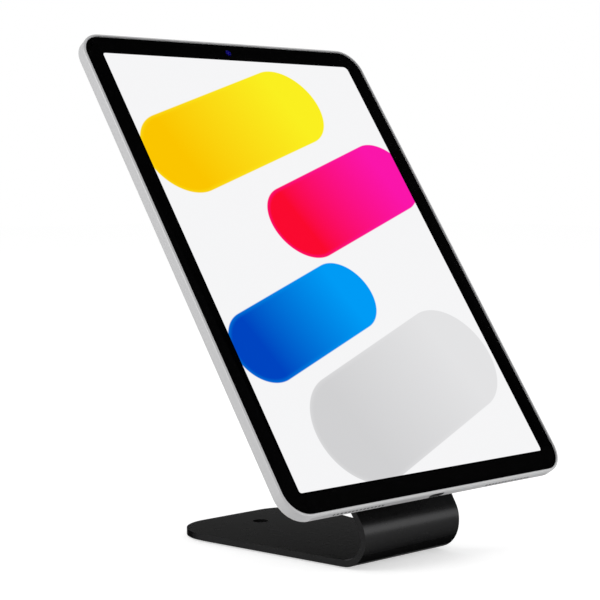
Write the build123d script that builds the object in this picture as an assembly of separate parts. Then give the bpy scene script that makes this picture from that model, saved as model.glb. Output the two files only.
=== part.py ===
from build123d import *
import math
import os

# Tablet security kiosk stand: a tablet bonded to a swivel head on a bent steel stand.
# Millimetres, +Z up, the viewer stands on the -Y side.
# The origin is the centre of the bolt hole in the base, on the table.

# General sizes
overrun = 1.0
fit_clearance = 0.05
running_clearance = 0.05
seat_gap = 0.3

# Bent stand, one sheet: base, front bend and leg
sheet_thickness = 3.0
bend_outer_radius = 13.75
lean_angle = 35.13
waist_width = 61.2
base_rear_width = 87.6
base_corner_radius = 22.2
bolt_to_rear_edge = 21.2
bolt_to_bend = 87.5
bolt_hole_diameter = 7.5
pivot_along_leg = 122.8
leg_past_pivot = 38.0
leg_top_width = 80.0
leg_corner_radius = 26.0

# Rubber sheet under the base
base_pad_thickness = 0.8
base_pad_margin = 2.5

# Swivel: bush in the leg, hollow shaft of the hub, washer, spring and ring nut behind the leg
shaft_diameter = 25.0
bush_wall = 1.5
bush_flange_diameter = 40.0
bush_flange_thickness = 0.8
hub_diameter = 64.0
hub_depth = 11.2
hub_edge_chamfer = 1.0
hub_recess_diameter = 44.0
hub_recess_depth = 5.5
washer_diameter = 36.0
washer_thickness = 0.8
spring_height = 1.6
spring_thickness = 0.9
nut_diameter = 34.0
nut_thickness = 5.0
nut_slot_count = 4
nut_slot_width = 4.0
nut_slot_depth = 2.0
shaft_past_nut = 2.0

# Stop pin of the hub, in an arc slot of the leg
swivel_range = 90.0
stop_pin_diameter = 4.0
stop_pin_radius = 26.0
stop_pin_start_angle = 225.0
stop_pin_seat = 5.0
stop_pin_clearance = 0.2

# Plate and foam that carry the tablet
mount_plate_width = 96.0
mount_plate_corner_radius = 12.0
mount_plate_thickness = 2.5
plate_screw_count = 4
plate_screw_circle_diameter = 54.0
plate_screw_diameter = 4.0
plate_screw_head_diameter = 8.0
plate_screw_head_depth = 2.2
plate_screw_socket_width = 2.5
plate_screw_socket_depth = 1.5
plate_screw_socket_sides = 6
adhesive_pad_margin = 1.0
adhesive_pad_thickness = 1.15

# Rear cap over the nut and the arc slot
cap_gap = 0.4
cap_diameter = 61.0
cap_depth = 12.0
cap_wall = 2.0
cap_edge_chamfer = 2.0

# Lock: barrel in the cap and the shaft, plug with an annular keyway, T bar behind the shaft's web
barrel_diameter = 16.0
barrel_flange_diameter = 21.0
barrel_flange_thickness = 1.2
barrel_length = 10.0
barrel_end_wall = 1.2
plug_diameter = 10.0
plug_recess = 0.4
plug_end_gap = 0.1
keyway_outer_diameter = 7.8
keyway_inner_diameter = 5.4
keyway_depth = 4.5
keyway_notch_width = 1.4
keyway_notch_depth = 0.7
spindle_diameter = 5.0
web_gap = 0.6
web_thickness = 3.0
tbar_length = 13.0
tbar_width = 5.2
tbar_thickness = 3.0
tbar_gap = 0.2
tbar_clearance = 0.3
tbar_chamber_clearance = 2.0
rivet_head_diameter = 6.4
rivet_head_height = 0.6

# Tablet body and glass
tablet_width = 178.5
tablet_length = 247.6
tablet_thickness = 6.1
tablet_corner_radius = 12.5
housing_back_thickness = 0.8
housing_wall = 3.4
housing_front_edge_radius = 0.7
housing_back_edge_radius = 1.5
rim_width = 1.15
glass_thickness = 0.8
glass_edge_chamfer = 0.25
mask_thickness = 0.1
border_width = 9.1
screen_corner_radius = 2.5
panel_margin = 1.6
panel_thickness = 1.2
panel_gap = 0.1
tray_wall = 0.5
tray_floor = 0.6

# Cameras
front_camera_window_diameter = 3.4
front_camera_lens_diameter = 2.8
front_camera_body_width = 6.0
front_camera_body_height = 3.2
front_camera_gap = 0.4
front_camera_lens_gap = 0.05
rear_camera_edge_distance = 14.5
rear_camera_hole_diameter = 13.0
rear_camera_ring_diameter = 16.0
rear_camera_ring_wall = 0.6
rear_camera_ring_height = 1.1
rear_camera_ring_chamfer = 0.4
rear_camera_lens_recess = 0.15
rear_camera_lens_thickness = 0.7
rear_camera_body_width = 10.0
rear_camera_body_height = 2.2
rear_camera_barrel_diameter = 9.0

# Batteries, logic board and its screws
cell_wall_gap = 7.35
cell_middle_gap = 2.0
cell_end_gap = 18.9
cell_board_gap = 6.0
cell_tray_gap = 0.2
cell_corner_radius = 3.0
board_wall_gap = 19.85
board_end_gap = 20.4
board_length = 46.0
board_thickness = 0.8
board_corner_radius = 2.0
board_boss_diameter = 4.4
board_boss_height = 0.6
board_screw_inset = 4.0
board_screw_diameter = 1.6
board_screw_head_diameter = 3.2
board_screw_head_height = 0.6
shield_height = 0.9
shield_width_shares = (0.26, 0.17, 0.23)
shield_board_margin = 8.0

# Speakers and their holes in the short edges
speaker_length = 13.0
speaker_height = 2.4
speaker_corner_radius = 1.5
speaker_wall_gap = 0.2
speaker_camera_gap = 5.0
speaker_button_gap = 4.2
lower_speaker_edge_distance = 40.75
speaker_hole_diameter = 1.3
speaker_hole_pitch = 2.25
speaker_hole_margin = 4.0

# Charging port
port_width = 9.0
port_height = 3.2
port_wall = 0.3
port_depth = 7.3
port_recess = 0.3
port_floor = 0.8
tongue_width = 6.6
tongue_height = 0.7
tongue_recess = 0.8

# Buttons and their switches
button_height = 2.6
button_proud = 0.35
button_clearance = 0.1
button_flange_margin = 0.8
button_flange_thickness = 0.8
button_stem_diameter = 2.0
button_stem_length = 0.5
power_button_length = 14.0
power_button_edge_distance = 29.25
volume_button_length = 10.0
volume_up_edge_distance = 35.8
volume_button_spacing = 14.0
switch_width = 6.0
switch_depth = 2.2
switch_height = 3.2

# Places that follow from the sizes
lean = math.radians(lean_angle)
upward = Align.CENTER, Align.CENTER, Align.MIN
base_bottom = base_pad_thickness
bend_centre = Vector(-bolt_to_bend, base_bottom + bend_outer_radius)
leg_outward = Vector(-math.cos(lean), math.sin(lean))
leg_up = Vector(math.sin(lean), math.cos(lean))
leg_start = bend_centre + leg_outward * bend_outer_radius
leg_length = pivot_along_leg + leg_past_pivot
base_top = base_bottom + sheet_thickness
bend_start_angle = -90.0
bend_turn = -90.0 - lean_angle
pivot = leg_start + leg_up * pivot_along_leg
head_plane = Plane(
    origin=(0, pivot.X, pivot.Y),
    x_dir=(1, 0, 0),
    z_dir=(0, leg_outward.X, leg_outward.Y),
)

# Heights in the head's own frame: zero is the leg's front face, positive towards the tablet
hub_rear = bush_flange_thickness
hub_front = hub_rear + hub_depth
plate_front = hub_front + mount_plate_thickness
tablet_back = plate_front + adhesive_pad_thickness
leg_rear = -sheet_thickness
washer_rear = leg_rear - washer_thickness
spring_rear = washer_rear - spring_height
nut_rear = spring_rear - nut_thickness
shaft_end = nut_rear - shaft_past_nut
cap_rim = leg_rear - cap_gap
cap_rear = cap_rim - cap_depth
barrel_front = cap_rear + barrel_length
web_rear = barrel_front + web_gap
web_front = web_rear + web_thickness
tbar_rear = web_front + tbar_gap
tbar_front = tbar_rear + tbar_thickness
shaft_radius = shaft_diameter / 2
bush_radius = shaft_radius + bush_wall
barrel_bore_radius = barrel_diameter / 2 + fit_clearance
chamber_radius = tbar_length / 2 + tbar_chamber_clearance

# Heights in the tablet's own frame: zero is its back face
glass_bottom = tablet_thickness - glass_thickness
mask_bottom = glass_bottom - mask_thickness
panel_bottom = mask_bottom - panel_thickness
tray_bottom = panel_bottom - tray_floor
half_width = tablet_width / 2
half_length = tablet_length / 2
half_thickness = tablet_thickness / 2
inner_half_width = half_width - housing_wall
inner_half_length = half_length - housing_wall
screen_width = tablet_width - 2 * (rim_width + border_width)
screen_length = tablet_length - 2 * (rim_width + border_width)
tray_margin = panel_margin + panel_gap + tray_wall
tray_half_length = screen_length / 2 + tray_margin
rear_camera_place = Pos(half_width - rear_camera_edge_distance, half_length - rear_camera_edge_distance)

# Places inside the tablet: the front camera sits between the tray and the wall
front_camera_up = (inner_half_length + tray_half_length) / 2
front_camera_body_length = inner_half_length - tray_half_length - 2 * front_camera_gap
front_camera_body_top = housing_back_thickness + front_camera_body_height
board_width = 2 * (inner_half_width - board_wall_gap)
board_high_edge = inner_half_length - board_end_gap
board_centre_up = board_high_edge - board_length / 2
board_bottom = housing_back_thickness + board_boss_height
board_top = board_bottom + board_thickness
cell_width = inner_half_width - cell_wall_gap - cell_middle_gap / 2
cell_low_edge = cell_end_gap - inner_half_length
cell_high_edge = board_high_edge - board_length - cell_board_gap
cell_length = cell_high_edge - cell_low_edge
cell_centre_up = (cell_high_edge + cell_low_edge) / 2
cell_top = tray_bottom - cell_tray_gap
power_button_side = half_width - power_button_edge_distance
volume_up_height = half_length - volume_up_edge_distance
volume_down_height = volume_up_height - volume_button_spacing
speaker_near = front_camera_body_width / 2 + speaker_camera_gap
speaker_far = power_button_side - power_button_length / 2 - button_flange_margin - speaker_button_gap
speaker_width = speaker_far - speaker_near
upper_speaker_side = (speaker_far + speaker_near) / 2
lower_speaker_side = half_width - lower_speaker_edge_distance
speaker_hole_count = int((speaker_width - 2 * speaker_hole_margin) / speaker_hole_pitch)


# Shapes used all over

def disc(radius, low, high):
    return Pos(0, 0, low) * Cylinder(radius, high - low, align=upward)


def ring(outer_radius, inner_radius, low, high):
    return disc(outer_radius, low, high) - disc(inner_radius, low - overrun, high + overrun)


def slab(outline, low, high):
    return extrude(Pos(0, 0, low) * outline, amount=high - low)


def turned(points):
    return revolve(Plane.XZ * make_face(Polyline(*points, close=True)), Axis.Z)


def rounded_outline(inset):
    return RectangleRounded(
        tablet_width - 2 * inset, tablet_length - 2 * inset, tablet_corner_radius - inset
    )


# Bent stand

def bent_leg():
    run_end = Vector(bend_centre.X + sheet_thickness, base_bottom)
    inner_radius = bend_outer_radius - sheet_thickness
    outer_bend = CenterArc(bend_centre, bend_outer_radius, bend_start_angle, bend_turn)
    inner_bend = CenterArc(bend_centre, inner_radius, bend_start_angle, bend_turn)
    outer_top = leg_start + leg_up * leg_length
    inner_top = outer_top - leg_outward * sheet_thickness
    inner_run_end = run_end + Vector(0, sheet_thickness)
    profile = make_face(
        [
            Line(run_end, outer_bend @ 0),
            outer_bend,
            Line(outer_bend @ 1, outer_top),
            Line(outer_top, inner_top),
            Line(inner_top, inner_bend @ 1),
            inner_bend,
            Line(inner_bend @ 0, inner_run_end),
            Line(inner_run_end, run_end),
        ]
    )
    sheet = extrude(Plane.YZ * profile, amount=leg_top_width, both=True)
    waist = waist_width / 2
    flare_start = bend_centre.Y
    side_slope = (leg_top_width / 2 - waist) / (outer_top.Y - flare_start)
    low = base_bottom - overrun
    high = outer_top.Y + overrun
    high_half = leg_top_width / 2 + side_slope * overrun
    front_view = make_face(
        Polyline(
            (-waist, low),
            (waist, low),
            (waist, flare_start),
            (high_half, high),
            (-high_half, high),
            (-waist, flare_start),
            close=True,
        )
    )
    depth = bolt_to_bend + bend_outer_radius + leg_length
    sheet = sheet & extrude(Plane.XZ * front_view, amount=depth, both=True)
    top_face = sheet.faces().sort_by(Axis.Z)[-1]
    top_corners = top_face.edges().sort_by(SortBy.LENGTH)[:2]
    return fillet(top_corners, leg_corner_radius)


def flared_base():
    waist = waist_width / 2
    rear = base_rear_width / 2
    outline = make_face(
        Polyline(
            (-waist, -bolt_to_bend),
            (waist, -bolt_to_bend),
            (rear, bolt_to_rear_edge),
            (-rear, bolt_to_rear_edge),
            close=True,
        )
    )
    outline = fillet(outline.vertices().sort_by(Axis.Y)[-2:], base_corner_radius)
    return slab(outline, base_bottom, base_top)


def stop_slot():
    path = CenterArc((0, 0), stop_pin_radius, stop_pin_start_angle, swivel_range)
    outline = SlotArc(path, stop_pin_diameter + 2 * stop_pin_clearance)
    return slab(outline, leg_rear - overrun, overrun)


def make_stand_plate():
    plate = bent_leg() + flared_base()
    bolt_hole = disc(bolt_hole_diameter / 2, 0, base_top + overrun)
    bore = disc(bush_radius + fit_clearance, leg_rear - overrun, overrun)
    return plate - bolt_hole - head_plane.location * bore - head_plane.location * stop_slot()


def make_base_pad():
    base = flared_base().faces().sort_by(Axis.Z)[0]
    outline = offset(base, -base_pad_margin).face()
    pad = extrude(outline, amount=base_pad_thickness, dir=(0, 0, -1))
    return pad - disc(bolt_hole_diameter / 2, -overrun, base_bottom + overrun)


# Swivel

def make_swivel_bush():
    sleeve = ring(bush_radius, shaft_radius + running_clearance, leg_rear, bush_flange_thickness)
    flange = ring(
        bush_flange_diameter / 2, shaft_radius + running_clearance, 0, bush_flange_thickness
    )
    return sleeve + flange


def make_rear_washer():
    return ring(washer_diameter / 2, shaft_radius + running_clearance, washer_rear, leg_rear)


def make_disc_spring():
    outer = washer_diameter / 2
    inner = shaft_radius + fit_clearance
    return turned(
        [
            (outer, washer_rear),
            (outer, washer_rear - spring_thickness),
            (inner, spring_rear),
            (inner, spring_rear + spring_thickness),
        ]
    )


def make_retaining_nut():
    nut = ring(nut_diameter / 2, shaft_radius + fit_clearance, nut_rear, spring_rear)
    slot = Pos(0, 0, nut_rear) * Box(2 * nut_slot_depth, nut_slot_width, nut_thickness * 2 + overrun)
    return nut - [place * slot for place in PolarLocations(nut_diameter / 2, nut_slot_count)]


def at_plate_screws(shape):
    places = PolarLocations(plate_screw_circle_diameter / 2, plate_screw_count)
    return [place * shape for place in places]


def make_swivel_hub():
    recess_floor = hub_front - hub_recess_depth
    hub = turned(
        [
            (barrel_bore_radius, shaft_end),
            (shaft_radius, shaft_end),
            (shaft_radius, hub_rear),
            (hub_diameter / 2 - hub_edge_chamfer, hub_rear),
            (hub_diameter / 2, hub_rear + hub_edge_chamfer),
            (hub_diameter / 2, hub_front),
            (hub_recess_diameter / 2, hub_front),
            (hub_recess_diameter / 2, recess_floor),
            (chamber_radius, recess_floor),
            (chamber_radius, web_front),
            (0, web_front),
            (0, web_rear),
            (barrel_bore_radius, web_rear),
        ]
    )
    slot = SlotOverall(tbar_length + 2 * tbar_clearance, tbar_width + 2 * tbar_clearance)
    hub -= slab(slot, web_rear - overrun, web_front + overrun)
    screw_radius = plate_screw_diameter / 2 + fit_clearance
    head_radius = plate_screw_head_diameter / 2 + fit_clearance
    screw_hole = disc(screw_radius, hub_rear - overrun, hub_front + overrun)
    screw_hole += turned(
        [
            (0, hub_rear - overrun),
            (head_radius, hub_rear - overrun),
            (head_radius, hub_rear),
            (screw_radius, hub_rear + plate_screw_head_depth),
            (0, hub_rear + plate_screw_head_depth),
        ]
    )
    hub -= at_plate_screws(screw_hole)
    pin_hole = disc(stop_pin_diameter / 2 + fit_clearance, hub_rear - overrun, hub_rear + stop_pin_seat)
    return hub - stop_pin_place() * pin_hole


def stop_pin_place():
    angle = math.radians(stop_pin_start_angle)
    return Pos(stop_pin_radius * math.cos(angle), stop_pin_radius * math.sin(angle))


def make_stop_pin():
    return stop_pin_place() * disc(stop_pin_diameter / 2, leg_rear, hub_rear + stop_pin_seat)


# Plate, screws and foam that carry the tablet

def mount_outline(margin):
    width = mount_plate_width - 2 * margin
    return RectangleRounded(width, width, mount_plate_corner_radius - margin)


def make_mount_plate():
    plate = slab(mount_outline(0), hub_front, plate_front)
    hole = disc(plate_screw_diameter / 2 + fit_clearance, hub_front - overrun, plate_front + overrun)
    return plate - at_plate_screws(hole)


def make_plate_screws():
    shank = plate_screw_diameter / 2
    head = plate_screw_head_diameter / 2
    screw = turned(
        [
            (0, hub_rear),
            (head, hub_rear),
            (shank, hub_rear + plate_screw_head_depth),
            (shank, plate_front - seat_gap),
            (0, plate_front - seat_gap),
        ]
    )
    socket = RegularPolygon(plate_screw_socket_width / 2, plate_screw_socket_sides, major_radius=False)
    screw -= slab(socket, hub_rear - overrun, hub_rear + plate_screw_socket_depth)
    return Part() + at_plate_screws(screw)


def make_adhesive_pad():
    return slab(mount_outline(adhesive_pad_margin), plate_front, tablet_back)


# Rear cap and lock

def make_rear_cap():
    outer = cap_diameter / 2
    inner = outer - cap_wall
    end_wall = cap_rear + cap_wall
    return turned(
        [
            (barrel_bore_radius, cap_rear),
            (outer - cap_edge_chamfer, cap_rear),
            (outer, cap_rear + cap_edge_chamfer),
            (outer, cap_rim),
            (inner, cap_rim),
            (inner, end_wall),
            (shaft_radius, end_wall),
            (shaft_radius, shaft_end),
            (barrel_bore_radius, shaft_end),
        ]
    )


def make_lock_barrel():
    flange_rear = cap_rear - barrel_flange_thickness
    bore = plug_diameter / 2 + running_clearance
    return turned(
        [
            (bore, flange_rear),
            (barrel_flange_diameter / 2, flange_rear),
            (barrel_flange_diameter / 2, cap_rear),
            (barrel_diameter / 2, cap_rear),
            (barrel_diameter / 2, barrel_front),
            (spindle_diameter / 2 + running_clearance, barrel_front),
            (spindle_diameter / 2 + running_clearance, barrel_front - barrel_end_wall),
            (bore, barrel_front - barrel_end_wall),
        ]
    )


def make_lock_plug():
    rear = cap_rear - barrel_flange_thickness + plug_recess
    front = barrel_front - barrel_end_wall - plug_end_gap
    spindle = spindle_diameter / 2
    plug = turned(
        [
            (0, rear),
            (plug_diameter / 2, rear),
            (plug_diameter / 2, front),
            (spindle, front),
            (spindle, tbar_front),
            (rivet_head_diameter / 2, tbar_front),
            (spindle, tbar_front + rivet_head_height),
            (0, tbar_front + rivet_head_height),
        ]
    )
    keyway_floor = rear + keyway_depth
    plug -= ring(keyway_outer_diameter / 2, keyway_inner_diameter / 2, rear - overrun, keyway_floor)
    notch_length = (keyway_outer_diameter - keyway_inner_diameter) / 2 + keyway_notch_depth
    notch = Pos(0, keyway_inner_diameter / 2) * Rectangle(
        keyway_notch_width, notch_length, align=(Align.CENTER, Align.MIN)
    )
    return plug - slab(notch, rear - overrun, keyway_floor)


def make_lock_tbar():
    bar = slab(SlotOverall(tbar_length, tbar_width, rotation=90), tbar_rear, tbar_front)
    return bar - disc(spindle_diameter / 2 + fit_clearance, tbar_rear - overrun, tbar_front + overrun)


# Tablet housing

def edge_plane(side):
    if side == "bottom":
        return Plane(origin=(0, -half_length, half_thickness), x_dir=(1, 0, 0), z_dir=(0, -1, 0))
    if side == "top":
        return Plane(origin=(0, half_length, half_thickness), x_dir=(-1, 0, 0), z_dir=(0, 1, 0))
    return Plane(origin=(half_width, 0, half_thickness), x_dir=(0, 1, 0), z_dir=(1, 0, 0))


def speaker_holes(side, distance):
    hole = disc(speaker_hole_diameter / 2, -housing_wall - overrun, overrun)
    centres = GridLocations(2 * distance, 0, 2, 1)
    row = GridLocations(speaker_hole_pitch, 0, speaker_hole_count, 1)
    return [edge_plane(side).location * centre * place * hole for centre in centres for place in row]


def button_hole(side, along, length):
    outline = SlotOverall(length + 2 * button_clearance, button_height + 2 * button_clearance)
    hole = Pos(along, 0) * slab(outline, -housing_wall - overrun, overrun)
    return edge_plane(side).location * hole


def at_board_screws(shape):
    width = board_width - 2 * board_screw_inset
    length = board_length - 2 * board_screw_inset
    return [Pos(0, board_centre_up) * place * shape for place in GridLocations(width, length, 2, 2)]


def make_rear_housing():
    body = slab(rounded_outline(0), 0, tablet_thickness)
    body = fillet(body.faces().sort_by(Axis.Z)[0].edges(), housing_back_edge_radius)
    body = fillet(body.faces().sort_by(Axis.Z)[-1].edges(), housing_front_edge_radius)
    pocket_inset = rim_width - fit_clearance
    body -= slab(rounded_outline(pocket_inset), mask_bottom, tablet_thickness + overrun)
    body -= slab(rounded_outline(housing_wall), housing_back_thickness, tablet_thickness)
    boss = ring(board_boss_diameter / 2, board_screw_diameter / 2 + fit_clearance, 0, board_bottom)
    boss -= disc(board_boss_diameter, -overrun, housing_back_thickness)
    body += at_board_screws(boss)
    body -= rear_camera_place * disc(
        rear_camera_hole_diameter / 2, -overrun, housing_back_thickness + overrun
    )
    body -= speaker_holes("bottom", lower_speaker_side)
    body -= speaker_holes("top", upper_speaker_side)
    port = SlotOverall(port_width + 2 * fit_clearance, port_height + 2 * fit_clearance)
    body -= edge_plane("bottom").location * slab(port, -housing_wall - overrun, overrun)
    body -= button_hole("top", -power_button_side, power_button_length)
    body -= button_hole("right", volume_up_height, volume_button_length)
    body -= button_hole("right", volume_down_height, volume_button_length)
    return body


# Glass, border and display

def make_cover_glass():
    glass = slab(rounded_outline(rim_width), glass_bottom, tablet_thickness)
    return chamfer(glass.faces().sort_by(Axis.Z)[-1].edges(), glass_edge_chamfer)


def make_border_mask():
    outline = rounded_outline(rim_width)
    outline -= RectangleRounded(screen_width, screen_length, screen_corner_radius)
    outline -= Pos(0, front_camera_up) * Circle(front_camera_window_diameter / 2)
    return slab(outline, mask_bottom, glass_bottom)


def panel_outline(margin):
    return RectangleRounded(
        screen_width + 2 * margin, screen_length + 2 * margin, screen_corner_radius
    )


def make_display_panel():
    return slab(panel_outline(panel_margin), panel_bottom, mask_bottom)


def make_panel_tray():
    tray = slab(panel_outline(tray_margin), tray_bottom, mask_bottom - panel_gap)
    return tray - slab(panel_outline(tray_margin - tray_wall), panel_bottom, mask_bottom + overrun)


# Cameras

def make_front_camera():
    body = Box(
        front_camera_body_width, front_camera_body_length, front_camera_body_height, align=upward
    )
    camera = Pos(0, 0, housing_back_thickness) * body
    camera += disc(front_camera_body_length / 2, front_camera_body_top, mask_bottom)
    camera += disc(front_camera_lens_diameter / 2, mask_bottom, glass_bottom - front_camera_lens_gap)
    return Pos(0, front_camera_up) * camera


def make_rear_camera_ring():
    neck = rear_camera_hole_diameter / 2 - fit_clearance
    bore = neck - rear_camera_ring_wall
    outer = rear_camera_ring_diameter / 2
    camera_ring = turned(
        [
            (bore, -rear_camera_ring_height),
            (outer - rear_camera_ring_chamfer, -rear_camera_ring_height),
            (outer, rear_camera_ring_chamfer - rear_camera_ring_height),
            (outer, 0),
            (neck, 0),
            (neck, housing_back_thickness),
            (bore, housing_back_thickness),
        ]
    )
    return rear_camera_place * camera_ring


def rear_lens_back():
    return -rear_camera_ring_height + rear_camera_lens_recess


def make_rear_camera_lens():
    radius = rear_camera_hole_diameter / 2 - rear_camera_ring_wall - 2 * fit_clearance
    lens = disc(radius, rear_lens_back(), rear_lens_back() + rear_camera_lens_thickness)
    return rear_camera_place * lens


def make_rear_camera_module():
    module = Pos(0, 0, housing_back_thickness) * Box(
        rear_camera_body_width, rear_camera_body_width, rear_camera_body_height, align=upward
    )
    barrel_back = rear_lens_back() + rear_camera_lens_thickness
    module += disc(rear_camera_barrel_diameter / 2, barrel_back, housing_back_thickness)
    return rear_camera_place * module


# Inside of the tablet

def make_battery(side):
    outline = RectangleRounded(cell_width, cell_length, cell_corner_radius)
    cell = slab(outline, housing_back_thickness, cell_top)
    return Pos(side * (cell_width + cell_middle_gap) / 2, cell_centre_up) * cell


def make_logic_board():
    outline = RectangleRounded(board_width, board_length, board_corner_radius)
    board = Pos(0, board_centre_up) * slab(outline, board_bottom, board_top)
    board -= at_board_screws(disc(board_screw_diameter / 2 + fit_clearance, 0, board_top + overrun))
    shield_length = board_length - 2 * shield_board_margin
    shield_count = len(shield_width_shares)
    shield_spacing = board_width / (shield_count + 1 / 2)
    for place, share in zip(GridLocations(shield_spacing, 0, shield_count, 1), shield_width_shares):
        outline = RectangleRounded(board_width * share, shield_length, board_corner_radius)
        board += Pos(0, board_centre_up) * place * slab(outline, board_top, board_top + shield_height)
    return board


def make_board_screws():
    shank = disc(board_screw_diameter / 2, housing_back_thickness, board_top)
    head = disc(board_screw_head_diameter / 2, board_top, board_top + board_screw_head_height)
    return Part() + at_board_screws(shank + head)


def make_speaker(side, end, distance):
    centre = inner_half_length - speaker_wall_gap - speaker_length / 2
    outline = RectangleRounded(speaker_width, speaker_length, speaker_corner_radius)
    speaker = slab(outline, housing_back_thickness, housing_back_thickness + speaker_height)
    return Pos(side * distance, end * centre) * speaker


def make_usb_c_port():
    face = -port_recess
    back = face - port_depth
    shell = slab(SlotOverall(port_width, port_height), back, face)
    mouth = SlotOverall(port_width - 2 * port_wall, port_height - 2 * port_wall)
    shell -= slab(mouth, back + port_floor, face + overrun)
    shell += slab(Rectangle(tongue_width, tongue_height), back, face - tongue_recess)
    return edge_plane("bottom").location * shell


# Buttons and switches

def make_button(side, along, length):
    cap = slab(SlotOverall(length, button_height), -housing_wall, button_proud)
    flange_back = -housing_wall - button_flange_thickness
    margin = 2 * button_flange_margin
    flange = slab(SlotOverall(length + margin, button_height + margin), flange_back, -housing_wall)
    stem = disc(button_stem_diameter / 2, flange_back - button_stem_length, flange_back)
    return edge_plane(side).location * Pos(along, 0) * (cap + flange + stem)


def make_switch(side, along):
    front = -housing_wall - button_flange_thickness - button_stem_length - seat_gap
    lift = housing_back_thickness - half_thickness
    body = Pos(along, 0, front) * Box(
        switch_width, switch_height, switch_depth, align=(Align.CENTER, Align.MIN, Align.MAX)
    )
    return edge_plane(side).location * Pos(0, lift) * body


stand_parts = {
    "stand_plate": make_stand_plate(),
    "base_pad": make_base_pad(),
}

head_parts = {
    "swivel_bush": make_swivel_bush(),
    "rear_washer": make_rear_washer(),
    "disc_spring": make_disc_spring(),
    "retaining_nut": make_retaining_nut(),
    "swivel_hub": make_swivel_hub(),
    "stop_pin": make_stop_pin(),
    "mount_plate": make_mount_plate(),
    "plate_screws": make_plate_screws(),
    "adhesive_pad": make_adhesive_pad(),
    "rear_cap": make_rear_cap(),
    "lock_barrel": make_lock_barrel(),
    "lock_plug": make_lock_plug(),
    "lock_tbar": make_lock_tbar(),
}

tablet_parts = {
    "rear_housing": make_rear_housing(),
    "cover_glass": make_cover_glass(),
    "border_mask": make_border_mask(),
    "display_panel": make_display_panel(),
    "panel_tray": make_panel_tray(),
    "front_camera": make_front_camera(),
    "rear_camera_ring": make_rear_camera_ring(),
    "rear_camera_lens": make_rear_camera_lens(),
    "rear_camera_module": make_rear_camera_module(),
    "battery_left": make_battery(-1),
    "battery_right": make_battery(1),
    "logic_board": make_logic_board(),
    "board_screws": make_board_screws(),
    "speaker_lower_left": make_speaker(-1, -1, lower_speaker_side),
    "speaker_lower_right": make_speaker(1, -1, lower_speaker_side),
    "speaker_upper_left": make_speaker(-1, 1, upper_speaker_side),
    "speaker_upper_right": make_speaker(1, 1, upper_speaker_side),
    "usb_c_port": make_usb_c_port(),
    "power_button": make_button("top", -power_button_side, power_button_length),
    "volume_up_button": make_button("right", volume_up_height, volume_button_length),
    "volume_down_button": make_button("right", volume_down_height, volume_button_length),
    "power_switch": make_switch("top", -power_button_side),
    "volume_up_switch": make_switch("right", volume_up_height),
    "volume_down_switch": make_switch("right", volume_down_height),
}

tablet_place = head_plane.location * Pos(0, 0, tablet_back)
nodes = dict(stand_parts)
for name, shape in head_parts.items():
    nodes[name] = head_plane.location * shape
for name, shape in tablet_parts.items():
    nodes[name] = tablet_place * shape

os.makedirs("parts", exist_ok=True)
for name, shape in nodes.items():
    export_step(shape, f"parts/{name}.step")
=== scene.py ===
import bpy
import math
from mathutils import Euler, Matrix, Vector


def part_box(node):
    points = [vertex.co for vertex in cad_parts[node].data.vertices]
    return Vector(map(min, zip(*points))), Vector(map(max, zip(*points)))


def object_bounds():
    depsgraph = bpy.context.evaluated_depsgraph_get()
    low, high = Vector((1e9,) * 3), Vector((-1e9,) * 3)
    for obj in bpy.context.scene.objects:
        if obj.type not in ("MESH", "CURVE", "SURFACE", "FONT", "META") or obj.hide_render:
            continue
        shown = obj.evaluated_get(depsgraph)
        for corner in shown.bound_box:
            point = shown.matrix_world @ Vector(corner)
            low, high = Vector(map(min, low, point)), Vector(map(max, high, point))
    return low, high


# Looks of the tablet security stand: materials, picture, floor, light and camera.
# Metres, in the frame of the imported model: +Z up, the tablet faces -Y.

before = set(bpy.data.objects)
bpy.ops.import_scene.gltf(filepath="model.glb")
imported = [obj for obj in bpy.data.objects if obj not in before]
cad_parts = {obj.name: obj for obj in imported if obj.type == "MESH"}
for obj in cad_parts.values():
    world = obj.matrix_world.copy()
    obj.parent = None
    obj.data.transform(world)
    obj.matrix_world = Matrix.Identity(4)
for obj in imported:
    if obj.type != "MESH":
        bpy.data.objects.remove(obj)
cad_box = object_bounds()


def box_centre(node):
    low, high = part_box(node)
    return (low + high) / 2


# Units, and the tablet's size, directions and place
MM = 0.001
LEAN = math.radians(35.13)
ACROSS = Vector((1.0, 0.0, 0.0))
UP_TABLET = Vector((0.0, math.sin(LEAN), math.cos(LEAN)))
OUTWARD = Vector((0.0, -math.cos(LEAN), math.sin(LEAN)))
TABLET_SIZE = Vector((178.5, 247.6, 6.1)) * MM
TABLET_CORNER = 12.5 * MM
GLASS_HALF_THICKNESS = 0.4 * MM
GLASS_CENTRE = box_centre("cover_glass")

# Camera at the photograph's viewpoint, placed from the middle of the glass's front
CAMERA_OFFSET = Vector((-550.3, -560.2, 37.8)) * MM
CAMERA_AZIMUTH = math.radians(-43.59)
CAMERA_PITCH_DOWN = math.radians(4.28)
SENSOR_WIDTH = 36.0
FOCAL_SHARE = 2.829

# Plain colours, and the grain that most finishes share: fine and broad noise in equal shares
BLACK = (0.0, 0.0, 0.0)
WHITE = (1.0, 1.0, 1.0)
GRAIN_DETAIL = 3.0
BROAD_GRAIN_TIMES = 14.0
GRAIN_SHARE = 0.5

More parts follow.
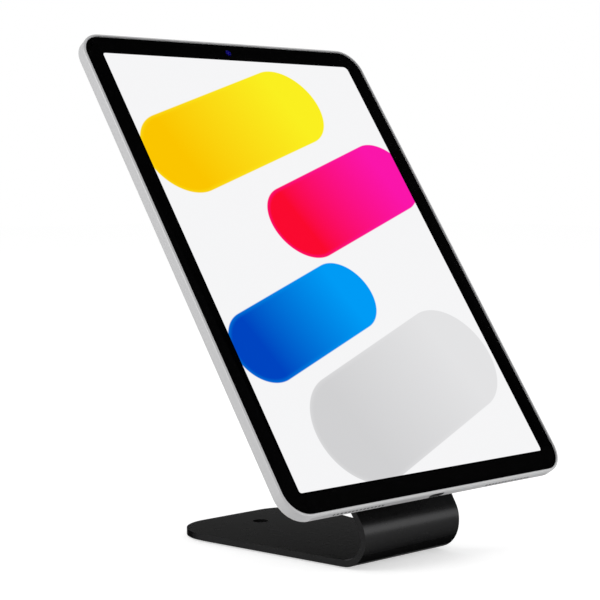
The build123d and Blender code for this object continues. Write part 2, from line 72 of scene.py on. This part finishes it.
# Grained finishes and the nodes that wear them: grain size and relief depth in mm
FINISHES = {
    "powder_coat": dict(
        colour=(0.02, 0.02, 0.0203), roughness=0.28, grain=0.45, depth=0.005, spread=0.12,
        metallic=0.85, specular=0.0, nodes=("stand_plate", "mount_plate"),
    ),
    "rubber_sheet": dict(
        colour=(0.02, 0.02, 0.02), roughness=0.85, grain=0.8, depth=0.02, specular=0.2,
        nodes=("base_pad",),
    ),
    "acetal": dict(
        colour=(0.72, 0.72, 0.68), roughness=0.45, grain=1.5, depth=0.002, spread=0.04,
        nodes=("swivel_bush", "rear_washer"),
    ),
    "black_anodised": dict(
        colour=(0.03, 0.03, 0.033), roughness=0.4, grain=0.2, depth=0.003, spread=0.15,
        metallic=0.6, nodes=("swivel_hub",),
    ),
    "spring_steel": dict(
        colour=(0.42, 0.42, 0.43), roughness=0.3, grain=0.3, depth=0.003, metallic=1.0,
        nodes=("disc_spring",),
    ),
    "zinc_plate": dict(
        colour=(0.55, 0.56, 0.58), roughness=0.34, grain=0.6, depth=0.004, spread=0.12,
        metallic=1.0, nodes=("retaining_nut", "stop_pin", "plate_screws", "lock_tbar", "board_screws"),
    ),
    "foam_tape": dict(
        colour=(0.035, 0.035, 0.036), roughness=0.95, grain=0.4, depth=0.05, spread=0.3, specular=0.1,
        nodes=("adhesive_pad",),
    ),
    "moulded_cap": dict(
        colour=(0.02, 0.02, 0.021), roughness=0.55, grain=0.35, depth=0.015, specular=0.35,
        nodes=("rear_cap",),
    ),
    "blasted_silver": dict(
        colour=(0.43, 0.43, 0.435), roughness=0.45, grain=0.12, depth=0.0006, spread=0.03, metallic=0.2,
        nodes=("rear_housing", "power_button", "volume_up_button", "volume_down_button", "rear_camera_ring"),
    ),
    "black_ink": dict(
        colour=(0.0018, 0.0018, 0.0019), roughness=0.3, grain=1.0, depth=0.0005, specular=0.0,
        nodes=("border_mask",),
    ),
    "pressed_steel": dict(
        colour=(0.4, 0.4, 0.4), roughness=0.4, grain=1.0, depth=0.004, metallic=1.0,
        nodes=("panel_tray",),
    ),
    "camera_black": dict(
        colour=(0.012, 0.012, 0.013), roughness=0.5, grain=0.3, depth=0.004,
        nodes=("rear_camera_module",),
    ),
    "cell_foil": dict(
        colour=(0.05, 0.05, 0.055), roughness=0.38, grain=4.0, depth=0.05, spread=0.2,
        nodes=("battery_left", "battery_right"),
    ),
    "speaker_moulding": dict(
        colour=(0.02, 0.02, 0.02), roughness=0.6, grain=0.4, depth=0.01,
        nodes=[f"speaker_{end}_{side}" for end in ("lower", "upper") for side in ("left", "right")],
    ),
    "port_steel": dict(
        colour=(0.12, 0.12, 0.12), roughness=0.35, grain=0.3, depth=0.003, metallic=1.0,
        nodes=("usb_c_port", "power_switch", "volume_up_switch", "volume_down_switch"),
    ),
}
COAT_EDGE_TINT = (0.28, 0.28, 0.28)

# Turned metal of the lock: rings about the swivel's axis
CHROME_COLOUR = (0.42, 0.42, 0.43)
CHROME_ROUGHNESS = 0.3
RING_RATE = 2 * math.pi / (0.25 * MM)
RING_DEPTH = 0.002 * MM
RING_ROUGHNESS_SHARES = (0.8, 1.3)
TURNED_MOTTLE = 2 * MM
TURNED_SHADES = (0.9, 1.1)

# Painted shade in the holes of the tablet's sides: how far in it starts and is full, and the band it keeps
# to
HOLE_SHADE_START = 0.01 * MM
HOLE_SHADE_FULL = 0.03 * MM
HOLE_BAND_HALF = 1.6 * MM
HOLE_PAINTED_SHADE = (0.01, 0.01, 0.01)

# Logic board: solder mask with tracks that show through it
BOARD_COLOUR = (0.01, 0.08, 0.045)
BOARD_DARK = (0.008, 0.06, 0.035)
BOARD_LIGHT = (0.02, 0.12, 0.07)
BOARD_ROUGHNESS = 0.4
TRACK_SIZE = 1.2 * MM
TRACK_DETAIL = 5.0
TRACK_EDGES = (0.48, 0.52)
TRACK_DEPTH = 0.02 * MM

# Lenses: middle colour, edge colour and specular level
FRONT_LENS = ((0.006, 0.0, 0.34), (0.001, 0.0, 0.1), 0.02)
REAR_LENS = ((0.01, 0.012, 0.05), (0.002, 0.002, 0.003), 0.15)
LENS_ROUGHNESS = 0.08
LENS_MIDDLE_SHARE = 0.35

# Cover glass: nearly clear, with faint smears in its gloss
GLASS_ROUGHNESS = 0.05
GLASS_SMEAR_RANGE = (0.04, 0.08)
GLASS_SMEAR_SIZE = 60 * MM
GLASS_SMEAR_DETAIL = 2.0
GLASS_ALPHA = 0.02

# Picture on the display: soft slanting bars on a near-white ground, inside a dark margin
GROUND = (0.955, 0.955, 0.965)
PICTURE_ROUGHNESS = 0.5
PICTURE_LOW = Vector((-78.15, -112.7)) * MM
PICTURE_HIGH = Vector((79.0, 113.55)) * MM
PICTURE_CORNER = 1.2 * MM
PICTURE_EDGE = 0.05 * MM
BAR_EDGE = 0.25 * MM
BAR_SHEEN_WIDTH = 2.5 * MM
BAR_SHEEN = 0.35
# Each bar: start and end (across, up) and half width in mm, then the colours of its two ends
BARS = (
    ((-28, -88), (50, -60), 27, (0.66, 0.66, 0.67), (0.80, 0.80, 0.81)),
    ((-62, -44), (0, -22), 18, (0.0, 0.06, 0.55), (0.0, 0.34, 0.95)),
    ((-4, 19), (66, 44), 20, (1.0, 0.003, 0.03), (1.0, 0.008, 0.42)),
    ((-58, 58), (22, 86), 22, (1.0, 0.58, 0.0), (1.0, 0.90, 0.015)),
)

# Floor, surroundings and light: lengths in metres, powers in watts
FLOOR_REACH = 4.0
FLOOR_GAP = 0.05 * MM
FLOOR_COLOUR = (0.77, 0.77, 0.77)
FLOOR_ROUGHNESS = 0.9
FLOOR_SEEN_GLOW = 0.515
FLOOR_FILL_GLOW = 0.2
ROOM_LIGHT = 0.62
ROOM_SEEN = 1.0
KEY_PLACE = (-1.5, 0.45, 0.75)
KEY_SIZE = 1.0
KEY_POWER = 14.0
STRIP_PLACE = (0.6, -1.0, 0.27)
STRIP_WIDTH = 1.1
STRIP_HEIGHT = 0.36
STRIP_POWER = 4.6


# Node tree helpers
def add_node(tree, kind, **settings):
    node = tree.nodes.new(kind)
    for key, value in settings.items():
        setattr(node, key, value)
    return node


def feed(tree, socket, value):
    """Links a socket, or sets it to a plain value."""
    if isinstance(value, bpy.types.NodeSocket):
        tree.links.new(value, socket)
    else:
        socket.default_value = value


def calculate(tree, operation, *values):
    node = add_node(tree, "ShaderNodeMath", operation=operation)
    for socket, value in zip(node.inputs, values):
        feed(tree, socket, value)
    return node.outputs["Value"]


def combine(tree, operation, first, second, result="Vector"):
    """The result of an operation on two vectors."""
    node = add_node(tree, "ShaderNodeVectorMath", operation=operation)
    for socket, value in zip(node.inputs, (first, second)):
        feed(tree, socket, value)
    return node.outputs[result]


def remap(tree, value, low, high, new_low, new_high, smooth=False):
    node = add_node(tree, "ShaderNodeMapRange")
    node.interpolation_type = "SMOOTHSTEP" if smooth else "LINEAR"
    limits = {"Value": value, "From Min": low, "From Max": high, "To Min": new_low, "To Max": new_high}
    for name, limit in limits.items():
        feed(tree, node.inputs[name], limit)
    return node.outputs["Result"]


def mix_colours(tree, share, first, second):
    node = add_node(tree, "ShaderNodeMix", data_type="RGBA")
    feed(tree, node.inputs["Factor"], share)
    for name, value in (("A", first), ("B", second)):
        feed(tree, node.inputs[name], (*value, 1.0) if isinstance(value, tuple) else value)
    return node.outputs["Result"]


def noise(tree, size, detail):
    node = add_node(tree, "ShaderNodeTexNoise")
    node.inputs["Scale"].default_value = 1.0 / size
    node.inputs["Detail"].default_value = detail
    feed(tree, node.inputs["Vector"], object_place(tree))
    return node.outputs["Fac"]


def object_place(tree):
    return add_node(tree, "ShaderNodeTexCoord").outputs["Object"]


def tablet_place(tree):
    """Where a point lies from the tablet's middle: across, up and outward."""
    middle = GLASS_CENTRE + OUTWARD * (GLASS_HALF_THICKNESS - TABLET_SIZE.z / 2)
    offset = combine(tree, "SUBTRACT", object_place(tree), middle)
    return [combine(tree, "DOT_PRODUCT", offset, way, "Value") for way in (ACROSS, UP_TABLET, OUTWARD)]


def distance_beyond(tree, way, middle, half):
    """How far a point lies past a band about the middle, below zero inside it."""
    from_middle = calculate(tree, "ABSOLUTE", calculate(tree, "SUBTRACT", way, middle))
    return calculate(tree, "SUBTRACT", from_middle, half)


# Materials
def new_material(name, colour, roughness, metallic=0.0, specular=0.5):
    material = bpy.data.materials.new(name)
    material.use_nodes = True
    shader = material.node_tree.nodes["Principled BSDF"]
    shader.inputs["Base Color"].default_value = (*colour, 1.0)
    shader.inputs["Roughness"].default_value = roughness
    shader.inputs["Metallic"].default_value = metallic
    shader.inputs["Specular IOR Level"].default_value = specular
    return material, material.node_tree, shader


def add_relief(tree, shader, height, depth):
    bump = add_node(tree, "ShaderNodeBump")
    bump.inputs["Strength"].default_value = 1.0
    bump.inputs["Distance"].default_value = depth
    feed(tree, bump.inputs["Height"], height)
    feed(tree, shader.inputs["Normal"], bump.outputs["Normal"])


def scaled(colour, share):
    return tuple(min(1.0, channel * share) for channel in colour)


def dress(material, *nodes):
    for name in nodes:
        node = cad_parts[name]
        node.data.materials.clear()
        node.data.materials.append(material)


def grained(name, colour, roughness, grain, depth, nodes, spread=0.1, **more):
    """A surface with a fine grain: relief, and small changes of colour and roughness."""
    material, tree, shader = new_material(name, colour, roughness, **more)
    fine = noise(tree, grain * MM, GRAIN_DETAIL)
    broad = noise(tree, grain * MM * BROAD_GRAIN_TIMES, GRAIN_DETAIL)
    fine_share = calculate(tree, "MULTIPLY", fine, GRAIN_SHARE)
    mixed = calculate(tree, "MULTIPLY_ADD", broad, GRAIN_SHARE, fine_share)
    add_relief(tree, shader, fine, depth * MM)
    tone = mix_colours(tree, mixed, scaled(colour, 1.0 - spread), scaled(colour, 1.0 + spread))
    feed(tree, shader.inputs["Base Color"], tone)
    rough = remap(tree, mixed, 0.0, 1.0, roughness * (1.0 - spread), min(1.0, roughness * (1.0 + spread)))
    feed(tree, shader.inputs["Roughness"], rough)
    dress(material, *nodes)
    return material


def tint_coat(material):
    """Dulls the glare that a metallic shader gives at a shallow angle."""
    shader = material.node_tree.nodes["Principled BSDF"]
    shader.inputs["Specular Tint"].default_value = (*COAT_EDGE_TINT, 1.0)


def paint_hole_shade(material):
    """Painted shade: a dark colour on the walls of the sound holes and slots that cut the tablet's sides,
    where shade falls in them.
    """
    tree = material.node_tree
    shader = tree.nodes["Principled BSDF"]
    silver = shader.inputs["Base Color"].links[0].from_socket
    *ways, height = tablet_place(tree)
    flat_halves = [size / 2 - TABLET_CORNER for size in TABLET_SIZE.xy]
    beyond = [distance_beyond(tree, way, 0.0, half) for way, half in zip(ways, flat_halves)]
    depth = calculate(tree, "SUBTRACT", TABLET_CORNER, calculate(tree, "MAXIMUM", *beyond))
    deep = remap(tree, depth, HOLE_SHADE_START, HOLE_SHADE_FULL, 0.0, 1.0, smooth=True)
    flat = calculate(tree, "LESS_THAN", calculate(tree, "MINIMUM", *beyond), 0.0)
    level = calculate(tree, "LESS_THAN", calculate(tree, "ABSOLUTE", height), HOLE_BAND_HALF)
    shade = calculate(tree, "MULTIPLY", deep, calculate(tree, "MULTIPLY", flat, level))
    # Painted shade: the silver turns dark inside the holes
    feed(tree, shader.inputs["Base Color"], mix_colours(tree, shade, silver, HOLE_PAINTED_SHADE))


def turned_metal():
    """Fine rings about the swivel's axis, as a lathe leaves them."""
    material, tree, shader = new_material("satin_chrome", CHROME_COLOUR, CHROME_ROUGHNESS, metallic=1.0)
    offset = combine(tree, "SUBTRACT", object_place(tree), box_centre("lock_barrel"))
    radius = add_node(tree, "ShaderNodeVectorMath", operation="LENGTH")
    feed(tree, radius.inputs[0], combine(tree, "CROSS_PRODUCT", offset, OUTWARD))
    rings = calculate(tree, "SINE", calculate(tree, "MULTIPLY", radius.outputs["Value"], RING_RATE))
    add_relief(tree, shader, rings, RING_DEPTH)
    smoothest, roughest = (CHROME_ROUGHNESS * share for share in RING_ROUGHNESS_SHARES)
    feed(tree, shader.inputs["Roughness"], remap(tree, rings, -1.0, 1.0, smoothest, roughest))
    dark, light = (scaled(CHROME_COLOUR, share) for share in TURNED_SHADES)
    shade = mix_colours(tree, noise(tree, TURNED_MOTTLE, GRAIN_DETAIL), dark, light)
    feed(tree, shader.inputs["Base Color"], shade)
    return material


def board_material():
    """Solder mask with raised tracks under it, in a lighter green."""
    material, tree, shader = new_material("board_mask", BOARD_COLOUR, BOARD_ROUGHNESS)
    tracks = remap(tree, noise(tree, TRACK_SIZE, TRACK_DETAIL), *TRACK_EDGES, 0.0, 1.0, smooth=True)
    feed(tree, shader.inputs["Base Color"], mix_colours(tree, tracks, BOARD_DARK, BOARD_LIGHT))
    add_relief(tree, shader, tracks, TRACK_DEPTH)
    return material


def lens_material(name, node, middle, edge, specular):
    """A coated lens: a coloured middle that darkens towards its edge."""
    material, tree, shader = new_material(name, edge, LENS_ROUGHNESS, specular=specular)
    distance = combine(tree, "DISTANCE", object_place(tree), box_centre(node), "Value")
    low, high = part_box(node)
    reach = (high - low).x / 2
    rim = remap(tree, distance, reach * LENS_MIDDLE_SHARE, reach, 0.0, 1.0, smooth=True)
    feed(tree, shader.inputs["Base Color"], mix_colours(tree, rim, middle, edge))
    return material


def clear_glass():
    material, tree, shader = new_material("clear_glass", BLACK, GLASS_ROUGHNESS, specular=0.0)
    shader.inputs["Alpha"].default_value = GLASS_ALPHA
    smear = noise(tree, GLASS_SMEAR_SIZE, GLASS_SMEAR_DETAIL)
    feed(tree, shader.inputs["Roughness"], remap(tree, smear, 0.0, 1.0, *GLASS_SMEAR_RANGE))
    return material


def bar_distance(tree, x, y, start, end, half_width):
    """The distance from a bar's outline, below zero inside it, and the share of the way along it."""
    run = Vector(end) - Vector(start)
    across = calculate(tree, "SUBTRACT", x, start[0])
    rise = calculate(tree, "SUBTRACT", y, start[1])
    dot = calculate(tree, "MULTIPLY_ADD", rise, run.y, calculate(tree, "MULTIPLY", across, run.x))
    share = remap(tree, dot, 0.0, run.length_squared, 0.0, 1.0)
    side = calculate(tree, "MULTIPLY_ADD", share, -run.x, across)
    lift = calculate(tree, "MULTIPLY_ADD", share, -run.y, rise)
    squares = calculate(tree, "MULTIPLY_ADD", side, side, calculate(tree, "MULTIPLY", lift, lift))
    return calculate(tree, "SUBTRACT", calculate(tree, "SQRT", squares), half_width), share


def outside_picture(tree, x, y):
    """One on the dark margin that frames the lit pixels, which have small round corners."""
    squares = 0.0
    for way, low, high in zip((x, y), PICTURE_LOW, PICTURE_HIGH):
        beyond = distance_beyond(tree, way, (low + high) / 2, (high - low) / 2 - PICTURE_CORNER)
        beyond = calculate(tree, "MAXIMUM", beyond, 0.0)
        squares = calculate(tree, "MULTIPLY_ADD", beyond, beyond, squares)
    reach = calculate(tree, "SQRT", squares)
    return remap(tree, reach, PICTURE_CORNER - PICTURE_EDGE, PICTURE_CORNER + PICTURE_EDGE, 0.0, 1.0)


def picture_material():
    material, tree, shader = new_material("picture", BLACK, PICTURE_ROUGHNESS, specular=0.0)
    x, y, _ = tablet_place(tree)
    colour = GROUND
    for start, end, half_width, first, second in BARS:
        low, high = Vector(start) * MM, Vector(end) * MM
        distance, share = bar_distance(tree, x, y, low, high, half_width * MM)
        inside = remap(tree, distance, -BAR_EDGE, BAR_EDGE, 1.0, 0.0, smooth=True)
        body = mix_colours(tree, share, first, second)
        sheen = remap(tree, distance, -BAR_SHEEN_WIDTH, 0.0, 0.0, BAR_SHEEN, smooth=True)
        colour = mix_colours(tree, inside, colour, mix_colours(tree, sheen, body, second))
    colour = mix_colours(tree, outside_picture(tree, x, y), colour, BLACK)
    feed(tree, shader.inputs["Emission Color"], colour)
    shader.inputs["Emission Strength"].default_value = 1.0
    return material


def dress_all():
    made = {name: grained(name, **finish) for name, finish in FINISHES.items()}
    tint_coat(made["powder_coat"])
    # The silver housing gets painted shade in its holes
    paint_hole_shade(made["blasted_silver"])
    dress(turned_metal(), "lock_barrel", "lock_plug")
    dress(board_material(), "logic_board")
    dress(lens_material("front_lens", "front_camera", *FRONT_LENS), "front_camera")
    dress(lens_material("rear_lens", "rear_camera_lens", *REAR_LENS), "rear_camera_lens")
    dress(clear_glass(), "cover_glass")
    dress(picture_material(), "display_panel")


# Surroundings
def background_rays(tree):
    """One for a ray that shows the background: straight, mirrored or through glass."""
    path = add_node(tree, "ShaderNodeLightPath")
    seen = calculate(tree, "MAXIMUM", path.outputs["Is Camera Ray"], path.outputs["Is Glossy Ray"])
    return calculate(tree, "MAXIMUM", seen, path.outputs["Is Transmission Ray"])


def add_floor():
    height = cad_box[0].z - FLOOR_GAP
    mesh = bpy.data.meshes.new("floor")
    corners = [(x * FLOOR_REACH, y * FLOOR_REACH, height) for x, y in ((-1, -1), (1, -1), (1, 1), (-1, 1))]
    mesh.from_pydata(corners, [], [range(len(corners))])
    floor = bpy.data.objects.new("floor", mesh)
    bpy.context.scene.collection.objects.link(floor)
    material, tree, shader = new_material("floor_white", FLOOR_COLOUR, FLOOR_ROUGHNESS, specular=0.0)
    shader.inputs["Emission Color"].default_value = (*WHITE, 1.0)
    glow = remap(tree, background_rays(tree), 0.0, 1.0, FLOOR_FILL_GLOW, FLOOR_SEEN_GLOW)
    feed(tree, shader.inputs["Emission Strength"], glow)
    mesh.materials.append(material)


def add_world():
    world = bpy.data.worlds.new("studio")
    bpy.context.scene.world = world
    world.use_nodes = True
    tree = world.node_tree
    back = tree.nodes["Background"]
    back.inputs["Color"].default_value = (*WHITE, 1.0)
    feed(tree, back.inputs["Strength"], remap(tree, background_rays(tree), 0.0, 1.0, ROOM_LIGHT, ROOM_SEEN))


def add_area_light(name, place, target, width, height, power):
    data = bpy.data.lights.new(name, "AREA")
    data.shape = "ELLIPSE" if width == height else "RECTANGLE"
    data.size = width
    data.size_y = height
    data.energy = power
    light = bpy.data.objects.new(name, data)
    light.location = place
    aim = Vector(target) - Vector(place)
    light.rotation_euler = aim.to_track_quat("-Z", "Y").to_euler()
    bpy.context.scene.collection.objects.link(light)


def add_camera():
    data = bpy.data.cameras.new("photo_camera")
    data.sensor_width = SENSOR_WIDTH
    data.lens = SENSOR_WIDTH * FOCAL_SHARE
    camera = bpy.data.objects.new("photo_camera", data)
    camera.location = GLASS_CENTRE + OUTWARD * GLASS_HALF_THICKNESS + CAMERA_OFFSET
    camera.rotation_euler = Euler((math.pi / 2 - CAMERA_PITCH_DOWN, 0.0, CAMERA_AZIMUTH))
    bpy.context.scene.collection.objects.link(camera)
    bpy.context.scene.camera = camera


dress_all()
add_camera()
add_floor()
add_world()
add_area_light("key_light", KEY_PLACE, GLASS_CENTRE, KEY_SIZE, KEY_SIZE, KEY_POWER)
add_area_light("low_light", STRIP_PLACE, box_centre("base_pad"), STRIP_WIDTH, STRIP_HEIGHT, STRIP_POWER)
bpy.context.scene.view_settings.view_transform = "Standard"
